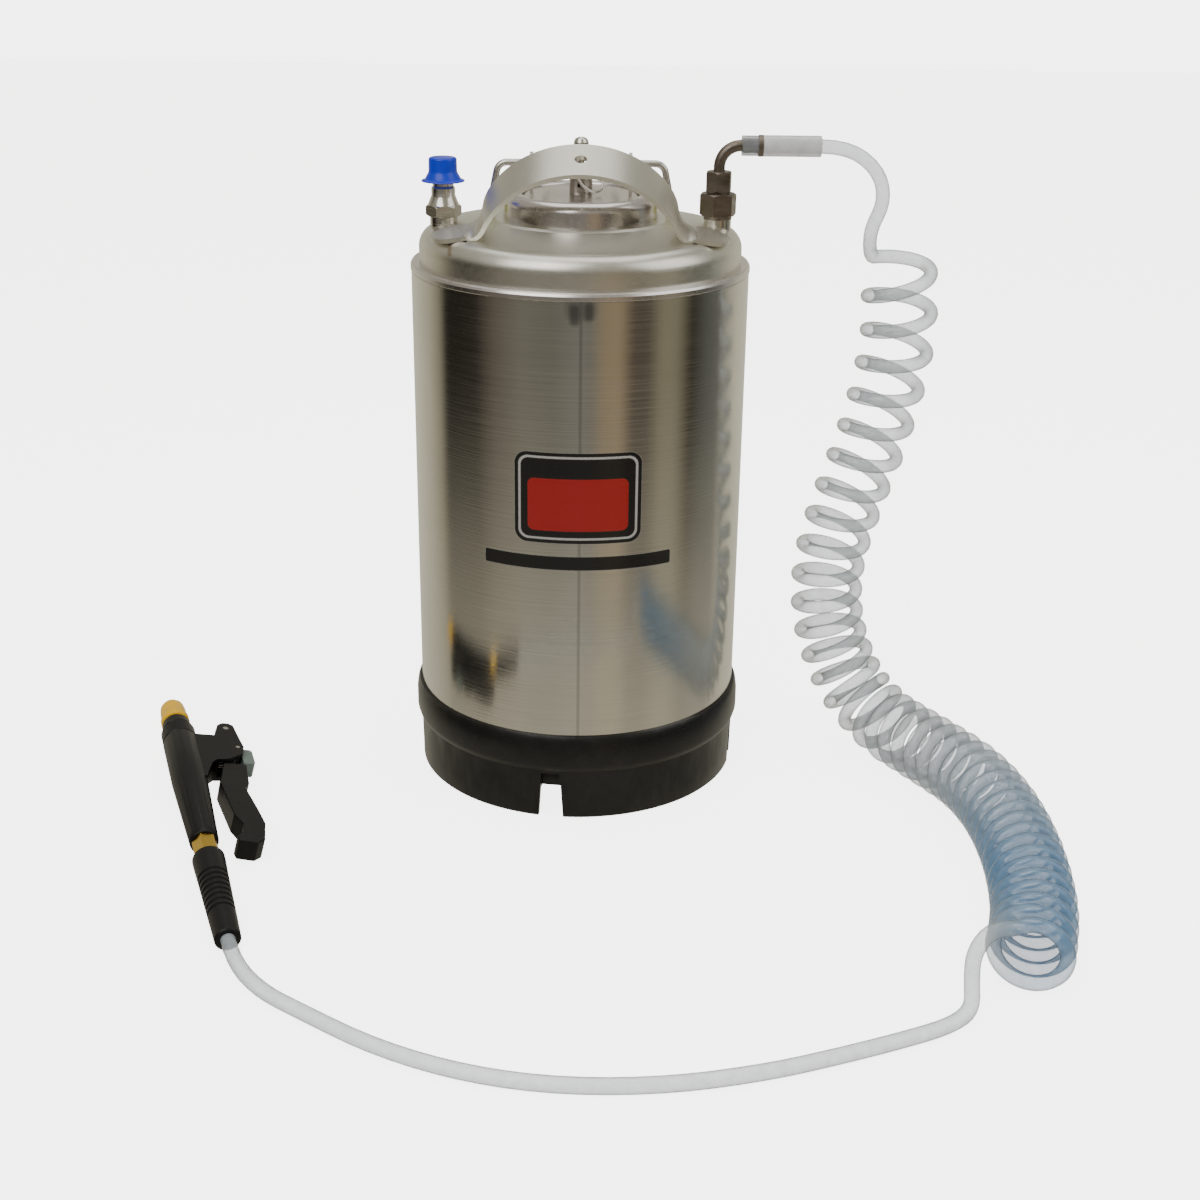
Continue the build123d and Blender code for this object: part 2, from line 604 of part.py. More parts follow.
def gas_poppet_spring():
    return coil_spring(POPPET_BORE - 1.0, 0.45, GAS_TUBE_TOP, POPPET_TOP - POPPET_HEAD_H, 9, -PORT_X)


def gas_tube():
    return ring(POPPET_BORE, POPPET_BORE - 0.9, GAS_TUBE_TOP - GAS_TUBE_L, GAS_TUBE_TOP, -PORT_X)


def dust_cap():
    cap = turned([(CAP_BORE, 0), (CAP_BRIM_R, 0), (CAP_BRIM_R, 0.9), (CAP_R + 2.6, 1.6),
                  (CAP_R + 0.7, 5.0), (CAP_R, 6.5), (CAP_R - 0.2, CAP_H - 1), (CAP_R - 1.3, CAP_H),
                  (0, CAP_H), (0, CAP_H - CAP_WALL), (CAP_BORE, CAP_H - CAP_WALL)])
    return Pos(-PORT_X, 0, CAP_LOW) * cap


def liquid_adapter():
    low, high = BOSS_TOP + NUT_LOW_Z[0], BOSS_TOP + NUT_LOW_Z[1]
    nut = hexagon(NUT_LOW, low, high, PORT_X, 12)
    nut += disc(NUT_LOW / 2 - 1.5, BOSS_TOP, low + 1, PORT_X)
    nut += disc(PORT_BORE, BOSS_LOW, BOSS_TOP + 1, PORT_X)
    nut += disc(NUT_UP / 2 - 1, high - 1, NUT_UP_LOW, PORT_X)
    return nut - disc(DIP_TUBE_R, BOSS_LOW - 1, NUT_UP_LOW + 1, PORT_X)


def swivel_nut():
    high = NUT_UP_LOW + NUT_UP_H
    return hexagon(NUT_UP, NUT_UP_LOW, high, PORT_X, 20) - disc(ELBOW_R, NUT_UP_LOW - 1, high + 1, PORT_X)


def elbow_tube():
    """Bent tube, turned down to a barb inside the hose."""
    barb_end = SLEEVE_X0 + 14
    path = FilletPolyline((PORT_X, 0, NUT_UP_LOW), (PORT_X, 0, ELBOW_Z), (barb_end, 0, ELBOW_Z),
                          radius=ELBOW_BEND)
    bent = sweep(Plane(origin=path @ 0, z_dir=path % 0) * (Circle(ELBOW_R) - Circle(ELBOW_R - 1.2)), path)
    return bent - along_x(2 * ELBOW_R, HOSE_BORE, FERRULE_X0, barb_end + 1)


def along_x(outer, inner, start, stop):
    pipe = Cylinder(outer, stop - start) - Cylinder(inner, 2 * (stop - start))
    return Pos((start + stop) / 2, 0, ELBOW_Z) * Rot(0, 90, 0) * pipe


def hose_cuff():
    return along_x(CUFF_R, HOSE_R, FERRULE_X0, SLEEVE_X0 - BAND_W)


def crimp_band():
    return along_x(CUFF_R + 0.5, HOSE_R, SLEEVE_X0 - BAND_W, SLEEVE_X0)


def strain_sleeve():
    return along_x(SLEEVE_R, HOSE_R, SLEEVE_X0, SLEEVE_X1)


def hose_root():
    return along_x(HOSE_R, HOSE_BORE, FERRULE_X0, SLEEVE_X1)


def dip_tube():
    low = HEAD_LOW + LOW_DISH + WALL + DIP_FLOOR_GAP
    return ring(DIP_TUBE_R, DIP_TUBE_R - 0.9, low, BOSS_TOP + NUT_LOW_Z[1] - 1, PORT_X)


def dip_tube_oring():
    """Seals the dip tube under the adapter's shank."""
    return Pos(PORT_X, 0, BOSS_LOW - 0.8) * Torus(DIP_TUBE_R + 0.8, 0.8)


# ---- spray gun ----------------------------------------------------------------------------------
def gun_plane():
    """Local X runs along the gun to its nozzle, local -Z points at the trigger."""
    along = (GUN_TO - GUN_FROM).normalized()
    side = along.cross(Vector(0, 0, 1)).normalized()
    up = side.cross(along)
    a = math.radians(GUN_ROLL)
    trigger_side = side * math.cos(a) - up * math.sin(a)
    return Plane(origin=GUN_FROM, x_dir=along, z_dir=trigger_side * -1)


def placed(shape):
    return gun_plane().location * shape


def barrel(profile):
    """Solid turned about the gun's axis from (position, radius) points."""
    outline = Polyline(*[(s, r) for s, r in profile], close=True)
    return revolve(make_face(outline), Axis.X, 360)


def pipe(outer, inner, start, stop):
    return barrel([(start, inner), (start, outer), (stop, outer), (stop, inner)])


def side_plate(points, half):
    """Plate in the gun's trigger plane from (position, distance out) points."""
    outline = Polyline(*[(s, 0, -d) for s, d in points], close=True)
    return extrude(make_face(outline), half, both=True, dir=(0, 1, 0))


def cross_pin(centre, radius, half):
    return Pos(centre[0], 0, -centre[1]) * Rot(90, 0, 0) * Cylinder(radius, 2 * half)


def outward(radius, low, high, inner=0.0):
    """Cylinder or tube square to the barrel, from low to high distance out at the valve."""
    body = Cylinder(radius, high - low)
    if inner:
        body -= Cylinder(inner, 2 * (high - low))
    return Pos(VALVE_S, 0, -(low + high) / 2) * body


def gun_body():
    body = barrel([(GRIP_S, 0), (GRIP_S, GRIP_R0 - 0.6), (GRIP_S + 1, GRIP_R0), (HOUSE_S + 5, GRIP_R1),
                   (FRONT_S - 1, GRIP_R1), (FRONT_S, GRIP_R1 - 1), (FRONT_S, NECK_R),
                   (NECK_END, NECK_R), (NECK_END, 0)])
    body += side_plate(HOUSE_OUTLINE, HOUSE_Y)
    body -= side_plate([(SLOT_S, SLOT_FLOOR), (SLOT_S, 60), (NECK_END + 20, 60),
                        (NECK_END + 20, SLOT_FLOOR)], SLOT_Y)
    body -= pipe(INLET_R, 0, GRIP_S - 1, GRIP_S + INLET_L)
    body -= pipe(PASSAGE_R, 0, GRIP_S, VALVE_S)
    body -= pipe(PASSAGE_R - 1, 0, VALVE_S, NECK_END + 1)
    body -= pipe(NECK_R + 1, NECK_RING_R, NECK_END - 5, NECK_END - 3)
    body -= outward(CHAMBER_R, CHAMBER_LOW, SLOT_FLOOR + 1)
    body -= cross_pin(PIVOT, PIN_R, 2 * HOUSE_Y)
    body -= cross_pin(LOCK_PIVOT, LOCK_PIN_R, 2 * HOUSE_Y)
    return placed(body - plug_shank())


def plug_shank():
    return Pos(FRONT_S - PLUG_SHANK_L / 2, 0, -PLUG_D) * Rot(0, 90, 0) * Cylinder(PLUG_R, PLUG_SHANK_L)


def valve_plug():
    head = Pos(FRONT_S, 0, -PLUG_D) * Rot(0, 90, 0) * extrude(RegularPolygon(PLUG_CORNER, 6), PLUG_HEAD_L)
    return placed(head + plug_shank())


def trigger_lever():
    lever = side_plate(LEVER_OUTLINE, LEVER_Y) + side_plate(PADDLE_OUTLINE, PADDLE_Y)
    lever += cross_pin(PIVOT, LEVER_BOSS, LEVER_Y)
    return placed(lever - cross_pin(PIVOT, PIN_R + FIT, 2 * HOUSE_Y))


def trigger_lock():
    tab = side_plate(LOCK_OUTLINE, LEVER_Y)
    tab += cross_pin(LOCK_PIVOT, LOCK_BOSS, LEVER_Y)
    return placed(tab - cross_pin(LOCK_PIVOT, LOCK_PIN_R + FIT, 2 * HOUSE_Y))


def trigger_pin():
    return placed(cross_pin(PIVOT, PIN_R, HOUSE_Y))


def lock_pin():
    return placed(cross_pin(LOCK_PIVOT, LOCK_PIN_R, HOUSE_Y))


def valve_stem():
    stem = outward(GUN_STEM_R, SEAT_D - 3, STEM_OUT)
    stem += outward(CHAMBER_R - 1.2, SEAT_D - 4.5, SEAT_D - CLEAR)
    return placed(stem)


def valve_seat():
    return placed(outward(CHAMBER_R, SEAT_D, SEAT_D + 3, GUN_STEM_R + 0.8))


def valve_gland():
    return placed(outward(CHAMBER_R, SLOT_FLOOR - 5, SLOT_FLOOR, GUN_STEM_R + FIT))


def stem_seal():
    return placed(outward(CHAMBER_R, SLOT_FLOOR - 8, SLOT_FLOOR - 5, GUN_STEM_R + FIT))


def valve_spring():
    low, high = CHAMBER_LOW, SEAT_D - 4.5
    wire = 0.5
    path = Helix(pitch=(high - low - 2 * wire) / 4, height=high - low - 2 * wire, radius=2.6)
    spring = sweep(Plane(origin=path @ 0, z_dir=path % 0) * Circle(wire), path)
    return placed(Pos(VALVE_S, 0, -high + wire) * spring)


def inlet_fitting():
    nut = Pos(GUARD_L + 2, 0, 0) * Rot(0, 90, 0) * extrude(
        RegularPolygon(INLET_CORNER, 6), GRIP_S - GUARD_L - 2)
    nut += pipe(INLET_R, 0, GRIP_S - 1, GRIP_S + INLET_L - 1.2)
    nut += pipe(HOSE_BORE, 0, BARB_S, GUARD_L + 3)
    return placed(nut - pipe(PASSAGE_R - 1.8, 0, BARB_S - 1, GRIP_S + INLET_L))


def inlet_oring():
    return placed(pipe(INLET_R, PASSAGE_R - 1.2, GRIP_S + INLET_L - 1.2, GRIP_S + INLET_L))


def bend_guard():
    def radius(at):
        return GUARD_R0 + (GUARD_R1 - GUARD_R0) * at / GUARD_L

    profile = [(0, HOSE_R), (0, GUARD_R0 - 0.8), (1, GUARD_R0)]
    for i in range(GUARD_GROOVES):
        start = GROOVE_S + i * GROOVE_PITCH
        end = start + GROOVE_W
        profile += [(start, radius(start)), (start + 0.6, radius(start) - GROOVE_DEEP),
                    (end - 0.6, radius(end) - GROOVE_DEEP), (end, radius(end))]
    profile += [(GUARD_L - 4, GUARD_R1), (GUARD_L, GUARD_R1), (GUARD_L + 2, GUARD_R0),
                (GUARD_L + 2, HOSE_R)]
    return placed(barrel(profile))


def gun_hose_end():
    return placed(pipe(HOSE_R, HOSE_BORE, 0, GUARD_L))


def nozzle_collar():
    start = FRONT_S + CLEAR
    back, front, step = GRIP_R1 - 0.2, GRIP_R0, NECK_END + CLEAR
    profile = [(start, NECK_R + FIT), (start, back - 0.8), (start + 1, back), (start + 13, back),
               (start + 15, front), (start + 17, front), (start + 18, front + 0.8),
               (COLLAR_END - 1, front + 0.2), (COLLAR_END, front - 0.8), (COLLAR_END, TIP_SHANK),
               (step, TIP_SHANK), (step, NECK_R + FIT)]
    return placed(barrel(profile))


def nozzle_tip():
    end = COLLAR_END + TIP_L
    bore = CORE_R + CLEAR
    profile = [(NECK_END + CLEAR, bore), (NECK_END + CLEAR, TIP_SHANK), (COLLAR_END, TIP_SHANK),
               (COLLAR_END, TIP_R0 - 0.6), (COLLAR_END + 0.8, TIP_R0), (COLLAR_END + 6, TIP_R0),
               (end - 2.5, TIP_R1), (end - 0.6, TIP_R1 - 0.7), (end, TIP_R1 - 1.6),
               (end, ORIFICE_R), (end - 4, ORIFICE_R), (end - 6, bore)]
    return placed(barrel(profile))


def swirl_core():
    start, end = NECK_END - 6, COLLAR_END + TIP_L - 8
    profile = [(start, 0), (start, PASSAGE_R - 1), (NECK_END, PASSAGE_R - 1), (NECK_END, CORE_R),
               (end - 1.5, CORE_R), (end, CORE_R - 1.5), (end, 0)]
    return placed(barrel(profile) - pipe(1.0, 0, start - 1, end - 4))


def nozzle_oring():
    return placed(pipe(NECK_R, NECK_RING_R, NECK_END - 5, NECK_END - 3))


# ---- nodes --------------------------------------------------------------------------------------
NODES = {
    "tank_shell": tank_shell, "seam_bead": seam_bead, "top_head": top_head,
    "opening_collar": opening_collar, "bottom_head": bottom_head, "rubber_boot": rubber_boot,
    "carry_handle": carry_handle, "lid_plate": lid_plate, "lid_gasket": lid_gasket,
    "hinge_ears": hinge_ears, "bail": bail, "bail_feet": bail_feet, "relief_body": relief_body,
    "relief_nut": relief_nut, "relief_seal": relief_seal, "relief_stem": relief_stem,
    "relief_spring": relief_spring, "pull_ring": pull_ring,
    "gas_boss": lambda: port_boss(-PORT_X), "liquid_boss": lambda: port_boss(PORT_X),
    "gas_post": gas_post, "gas_post_oring": gas_post_oring, "gas_poppet": gas_poppet,
    "gas_poppet_spring": gas_poppet_spring, "gas_tube": gas_tube, "dust_cap": dust_cap,
    "liquid_adapter": liquid_adapter, "swivel_nut": swivel_nut, "elbow_tube": elbow_tube,
    "hose_cuff": hose_cuff, "crimp_band": crimp_band, "strain_sleeve": strain_sleeve,
    "hose_root": hose_root, "dip_tube": dip_tube, "dip_tube_oring": dip_tube_oring,
    "hose_lead": lambda: tube("hose_lead", LEAD, HOSE_R),
    "hose_coil_hanging": lambda: tube("hose_coil_hanging", HANG, COIL_R),
    "hose_coil_laid": lambda: tube("hose_coil_laid", LAID, COIL_R),
    "hose_tail": lambda: tube("hose_tail", TAIL, HOSE_R),
    "gun_body": gun_body, "valve_plug": valve_plug, "trigger_lever": trigger_lever,
    "trigger_lock": trigger_lock, "trigger_pin": trigger_pin, "lock_pin": lock_pin,
    "valve_stem": valve_stem, "valve_seat": valve_seat, "valve_gland": valve_gland,
    "stem_seal": stem_seal, "valve_spring": valve_spring, "inlet_fitting": inlet_fitting,
    "inlet_oring": inlet_oring, "bend_guard": bend_guard, "gun_hose_end": gun_hose_end,
    "nozzle_collar": nozzle_collar, "nozzle_tip": nozzle_tip, "swirl_core": swirl_core,
    "nozzle_oring": nozzle_oring,
}

os.makedirs("parts", exist_ok=True)
for name, make in NODES.items():
    write(make(), name)
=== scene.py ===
# %% [markdown]
# # A stainless pressurised sprayer
# The CAD model gives every piece its place and size. This lesson loads it as a fixed frame, gives each
# piece its finish, and adds what CAD leaves plain: a hose that is really coiled, a label and welds.

# %% Load the frame
import math

import bmesh
import bpy
from mathutils import Matrix, Vector


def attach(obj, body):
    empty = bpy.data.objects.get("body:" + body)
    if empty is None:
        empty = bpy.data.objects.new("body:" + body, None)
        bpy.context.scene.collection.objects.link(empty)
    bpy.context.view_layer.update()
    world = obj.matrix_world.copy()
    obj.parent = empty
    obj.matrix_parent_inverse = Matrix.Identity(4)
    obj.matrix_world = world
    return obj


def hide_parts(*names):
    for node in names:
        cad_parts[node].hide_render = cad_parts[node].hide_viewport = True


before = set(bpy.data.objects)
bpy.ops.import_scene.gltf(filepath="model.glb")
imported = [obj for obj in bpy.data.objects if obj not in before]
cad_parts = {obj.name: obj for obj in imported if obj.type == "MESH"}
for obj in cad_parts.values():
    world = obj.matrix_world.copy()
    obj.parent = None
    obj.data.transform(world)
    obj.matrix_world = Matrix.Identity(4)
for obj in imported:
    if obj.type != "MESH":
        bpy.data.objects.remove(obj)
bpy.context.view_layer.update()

# %% [markdown]
# A camera is placed by where it stands and where it looks. It could track a target object, but then its
# slight roll would be lost, so its three axes are worked out from yaw, pitch and roll and become the
# columns of its matrix.

# %% Camera
CAMERA_AT = Vector((0.0038, -1.1906, 0.5903))
PITCH, YAW, ROLL = (math.radians(a) for a in (21.64, 0.598, 0.728))
LENS, SENSOR_WIDTH, CLIP_START = 52.6, 36.0, 0.05

forward = Vector((math.sin(YAW) * math.cos(PITCH), math.cos(YAW) * math.cos(PITCH), -math.sin(PITCH)))
level = Vector((math.cos(YAW), -math.sin(YAW), 0))
above = level.cross(forward)
right = level * math.cos(ROLL) + above * math.sin(ROLL)
upward = above * math.cos(ROLL) - level * math.sin(ROLL)

camera = bpy.data.objects.new("camera", bpy.data.cameras.new("camera"))
camera.data.lens = LENS
camera.data.sensor_width = SENSOR_WIDTH
camera.data.clip_start = CLIP_START
camera.matrix_world = Matrix((right, upward, -forward)).transposed().to_4x4()
camera.matrix_world.translation = CAMERA_AT
bpy.context.scene.collection.objects.link(camera)
bpy.context.scene.camera = camera
print("camera at", tuple(round(c, 3) for c in CAMERA_AT), "lens", LENS)

# %% [markdown]
# Every tree of shader nodes in this lesson is wired by the same small helper. It adds one node, links
# what feeds it in order, and sets the rest by name.

# %% Helper: add a shader node
def put(tree, kind, *links, **values):
    """Node in a tree, with its inputs linked in order and its settings or inputs set by name."""
    node = tree.nodes.new(kind)
    for key, value in values.items():
        if hasattr(node, key):
            setattr(node, key, value)
        else:
            node.inputs[key.replace("_", " ")].default_value = value
    for i, source in enumerate(links):
        if source is not None:
            tree.links.new(source, node.inputs[i])
    return node


def blend_colours(tree, factor, first, second):
    """Colour between two, each given as a colour or as a socket."""
    node = put(tree, "ShaderNodeMix", factor, data_type="RGBA")
    for place, colour in ((6, first), (7, second)):
        if isinstance(colour, tuple):
            node.inputs[place].default_value = (*colour, 1)
        else:
            tree.links.new(colour, node.inputs[place])
    return node.outputs[2]


# %% [markdown]
# Polished steel shows its surroundings more than its own colour. A plain studio would make the tank
# look like white paper, so the room has soft upright bands of tone round the horizon, a mid-grey ceiling
# and a pale ground. The backdrop that the camera itself sees stays plain white.

# %% Surroundings
world = bpy.data.worlds.new("studio")
bpy.context.scene.world = world
world.use_nodes = True
sky = world.node_tree
sky.nodes.clear()
CEILING = (0.40, 0.385, 0.33)
GROUND = (0.66, 0.62, 0.50)
BACKDROP = 5.0          # how bright the camera sees the plain backdrop
CEILING_FROM, CEILING_TO = 0.05, 0.45
GROUND_FROM, GROUND_TO, GROUND_SHARE = -0.27, -0.46, 0.75
ROOM = [(0.00, (0.22, 0.21, 0.19)), (0.05, (0.17, 0.165, 0.14)), (0.11, (0.20, 0.19, 0.16)),
        (0.165, (0.14, 0.12, 0.10)), (0.205, (0.028, 0.025, 0.02)), (0.285, (0.018, 0.016, 0.014)),
        (0.305, (0.30, 0.28, 0.21)), (0.345, (0.55, 0.52, 0.40)), (0.40, (0.72, 0.69, 0.54)),
        (0.50, (0.78, 0.75, 0.62)), (0.62, (0.74, 0.71, 0.56)), (0.67, (0.50, 0.47, 0.38)),
        (0.695, (0.16, 0.16, 0.15)), (0.735, (0.11, 0.115, 0.105)), (0.775, (0.035, 0.03, 0.022)),
        (0.81, (0.26, 0.24, 0.17)), (0.84, (0.27, 0.245, 0.17)), (0.87, (0.10, 0.085, 0.068)),
        (0.90, (0.10, 0.08, 0.065)), (0.925, (0.36, 0.28, 0.18)), (0.955, (0.32, 0.25, 0.165)),
        (0.98, (0.19, 0.185, 0.17)), (1.00, (0.22, 0.21, 0.19))]

where = put(sky, "ShaderNodeTexCoord")
split = put(sky, "ShaderNodeSeparateXYZ", where.outputs["Generated"])
bearing = put(sky, "ShaderNodeMath", split.outputs["X"], split.outputs["Y"], operation="ARCTAN2")
turn = put(sky, "ShaderNodeMapRange", bearing.outputs[0], **{"From Min": -math.pi, "From Max": math.pi})
room = put(sky, "ShaderNodeValToRGB", turn.outputs[0])
stops = room.color_ramp.elements
stops[0].color, stops[1].color = (*ROOM[0][1], 1), (*ROOM[-1][1], 1)
for place, colour in ROOM[1:-1]:
    stops.new(place).color = (*colour, 1)
high = put(sky, "ShaderNodeMapRange", split.outputs["Z"], **{
    "From Min": CEILING_FROM, "From Max": CEILING_TO})
low = put(sky, "ShaderNodeMapRange", split.outputs["Z"], **{
    "From Min": GROUND_FROM, "From Max": GROUND_TO, "To Max": GROUND_SHARE})
walls = blend_colours(sky, high.outputs[0], room.outputs[0], CEILING)
walls = blend_colours(sky, low.outputs[0], walls, GROUND)
lit = put(sky, "ShaderNodeBackground", walls)
seen = put(sky, "ShaderNodeBackground", Strength=BACKDROP)
seen.inputs["Color"].default_value = (1, 1, 1, 1)
rays = put(sky, "ShaderNodeLightPath")
both = put(sky, "ShaderNodeMixShader", rays.outputs["Is Camera Ray"], lit.outputs[0], seen.outputs[0])
put(sky, "ShaderNodeOutputWorld", both.outputs[0])
print("room has", len(ROOM), "tones round the horizon")

# %% [markdown]
# Three large soft lights do the work of a photographer's softboxes: one high in front, one at the
# side to round the tank, and one above. A wide pale floor catches a faint shadow under the boot and the
# hose. The floor is left out of reflections, so that the steel shows the room.

# %% Lights and floor
LIGHTS = [("key", (-0.7, -1.1, 1.5), 1.2, 13), ("fill", (1.3, -0.5, 1.1), 1.2, 7),
          ("top", (0.0, 0.25, 1.9), 1.6, 12)]
AIM = Vector((0, 0, 0.2))
FLOOR_HALF = 6.0

for name, place, size, power in LIGHTS:
    lamp = bpy.data.objects.new(name, bpy.data.lights.new(name, "AREA"))
    lamp.data.size = size
    lamp.data.energy = power
    lamp.location = place
    lamp.rotation_euler = (AIM - Vector(place)).to_track_quat("-Z", "Y").to_euler()
    bpy.context.scene.collection.objects.link(lamp)
print("lights", [light[0] for light in LIGHTS])


def add_mesh(name, mesh_builder):
    """Object at the origin whose mesh is what the bmesh holds when it is done."""
    mesh_builder.normal_update()
    mesh = bpy.data.meshes.new(name)
    mesh_builder.to_mesh(mesh)
    mesh_builder.free()
    piece = bpy.data.objects.new(name, mesh)
    bpy.context.scene.collection.objects.link(piece)
    return piece


bm = bmesh.new()
bmesh.ops.create_grid(bm, x_segments=1, y_segments=1, size=FLOOR_HALF)
floor = add_mesh("floor", bm)
floor.visible_glossy = False
print("floor", 2 * FLOOR_HALF, "m wide")

# %% [markdown]
# Every finish is a Principled material that differs only in a few numbers, so one helper makes them.
# Patterns read Object coordinates, because they then stay put on the piece from every side.

# %% Helpers for finishes
def finish(name, colour, roughness, **more):
    """Material with a Principled shader. Keyword names are the shader's own inputs."""
    made = bpy.data.materials.new(name)
    made.use_nodes = True
    shader = made.node_tree.nodes["Principled BSDF"]
    shader.inputs["Base Color"].default_value = (*colour, 1)
    shader.inputs["Roughness"].default_value = roughness
    for key, value in more.items():
        shader.inputs[key.replace("_", " ").title().replace("Ior", "IOR")].default_value = value
    return made


def group(name, inputs, outputs):
    """Empty shader node group with named inputs and outputs."""
    made = bpy.data.node_groups.new(name, "ShaderNodeTree")
    for label, kind, value in inputs:
        socket = made.interface.new_socket(label, in_out="INPUT", socket_type=kind)
        socket.default_value = value
    for label, kind in outputs:
        made.interface.new_socket(label, in_out="OUTPUT", socket_type=kind)
    return made, made.nodes.new("NodeGroupInput"), made.nodes.new("NodeGroupOutput")


FLOAT = "NodeSocketFloat"
print("finish helpers are ready")

# %% [markdown]
# The floor has to look as plain and pale as the backdrop, so it glows, but only for rays that come
# straight from the camera. It lights nothing.

# %% Pale floor
FLOOR_SHARE = 0.85      # brightness of the floor against the backdrop
pale = finish("pale_floor", (0.93, 0.93, 0.93), 0.6)
wires = pale.node_tree
pale_shader = wires.nodes["Principled BSDF"]
eye = put(wires, "ShaderNodeLightPath")
glow = put(wires, "ShaderNodeMath", eye.outputs["Is Camera Ray"], operation="MULTIPLY")
glow.inputs[1].default_value = BACKDROP * FLOOR_SHARE
pale_shader.inputs["Emission Color"].default_value = (1, 1, 1, 1)
wires.links.new(glow.outputs[0], pale_shader.inputs["Emission Strength"])
floor.data.materials.append(pale)
print("floor finish", pale.name)

# %% [markdown]
# Rolled and brushed steel carries very fine scratches in one direction. Stretched noise makes them:
# squeezed up and down and drawn out level. The group gives one mask, for the roughness and the bump, and
# broad blotches for the tone. Each metal sets its own stretch.

# %% Node group: brushed grain
grain, into, out = group("brushed_grain",
                         [("Across", FLOAT, 900.0), ("Along", FLOAT, 12.0)],
                         [("Mask", FLOAT), ("Blotch", FLOAT)])
place = put(grain, "ShaderNodeTexCoord")
rows = put(grain, "ShaderNodeCombineXYZ", into.outputs["Along"], into.outputs["Along"],
           into.outputs["Across"])
scaled = put(grain, "ShaderNodeVectorMath", place.outputs["Object"], rows.outputs[0], operation="MULTIPLY")
lines = put(grain, "ShaderNodeTexNoise", scaled.outputs[0], Scale=1.0, Detail=4.0, Roughness=0.65)
patches = put(grain, "ShaderNodeTexNoise", place.outputs["Object"], Scale=14.0, Detail=3.0, Roughness=0.6)
grain.links.new(lines.outputs[0], out.inputs["Mask"])
grain.links.new(patches.outputs[0], out.inputs["Blotch"])
print("group", grain.name, "puts out", [socket.name for socket in out.inputs if socket.name])


# %% [markdown]
# Every metal here is the same recipe with other numbers: how rough it is, how far the grain varies that,
# and how deep the scratches are.

# %% Steel from the grain
GRAIN_LOW, GRAIN_HIGH = 0.3, 0.7    # the part of the noise that is used
DULLER, LIGHTER = 0.86, 1.1         # how far the blotches shift the tone
SCRATCH_DEPTH = 0.0004


def steel(name, colour, roughness, across=900.0, along=12.0, bump=0.10, spread=0.12):
    """Brushed metal: the grain varies its roughness, its tone a little, and its surface."""
    made = finish(name, colour, roughness, metallic=1.0)
    tree = made.node_tree
    shader = tree.nodes["Principled BSDF"]
    brushed = put(tree, "ShaderNodeGroup", node_tree=grain)
    brushed.inputs["Across"].default_value = across
    brushed.inputs["Along"].default_value = along
    rough = put(tree, "ShaderNodeMapRange", brushed.outputs["Mask"], **{
        "From Min": GRAIN_LOW, "From Max": GRAIN_HIGH,
        "To Min": roughness - spread, "To Max": roughness + spread})
    tree.links.new(rough.outputs[0], shader.inputs["Roughness"])
    tone = put(tree, "ShaderNodeMix", data_type="RGBA")
    tree.links.new(brushed.outputs["Blotch"], tone.inputs[0])
    tone.inputs[6].default_value = (*[c * DULLER for c in colour], 1)
    tone.inputs[7].default_value = (*[min(1, c * LIGHTER) for c in colour], 1)
    tree.links.new(tone.outputs[2], shader.inputs["Base Color"])
    raised = put(tree, "ShaderNodeBump", Strength=bump, Distance=SCRATCH_DEPTH)
    tree.links.new(brushed.outputs["Mask"], raised.inputs["Height"])
    tree.links.new(raised.outputs[0], shader.inputs["Normal"])
    return made


bright = steel("bright_steel", (0.66, 0.63, 0.57), 0.20)
shell_steel = steel("shell_steel", (0.68, 0.66, 0.60), 0.155, bump=0.07, spread=0.06)
deck_steel = steel("deck_steel", (0.70, 0.68, 0.61), 0.33, across=500, along=500, bump=0.008, spread=0.05)
satin = steel("satin_steel", (0.66, 0.64, 0.57), 0.38, across=500, along=500, bump=0.015, spread=0.06)
polished = steel("polished_steel", (0.72, 0.68, 0.66), 0.25, across=300, along=300, bump=0.004, spread=0.03)
stained = steel("stained_steel", (0.20, 0.17, 0.14), 0.40, across=300, along=90)
worn = steel("worn_steel", (0.38, 0.35, 0.31), 0.34, across=300, along=90)
wire_steel = steel("wire_steel", (0.60, 0.58, 0.53), 0.30, across=400, along=400, bump=0.03, spread=0.06)
brass = steel("turned_brass", (0.82, 0.53, 0.09), 0.26, across=700, along=700, bump=0.04, spread=0.08)
print("metals", bright.name, satin.name, polished.name, stained.name, brass.name)


# %% [markdown]
# A printed label is flat ink, so it belongs in the finish and not in the mesh. The mask measures how far
# a point is outside a rounded rectangle seen from the front, and is one inside it. The same mask places
# the plain label, the stripe below it, the weld line with its marks, and a rust streak by the handle.

# %% Node group: rounded patch
patch, into, out = group("rounded_patch",
                         [("Centre X", FLOAT, 0.0), ("Centre Z", FLOAT, 0.2), ("Half Width", FLOAT, 0.04),
                          ("Half Height", FLOAT, 0.03), ("Corner", FLOAT, 0.005), ("Soft", FLOAT, 0.0005)],
                         [("Mask", FLOAT)])
place = put(patch, "ShaderNodeTexCoord")
parts = put(patch, "ShaderNodeSeparateXYZ", place.outputs["Object"])


def arithmetic(tree, operation, a, b=None, value=None):
    """One arithmetic node."""
    node = put(tree, "ShaderNodeMath", a, b, operation=operation)
    if value is not None:
        node.inputs[1].default_value = value
    return node.outputs[0]


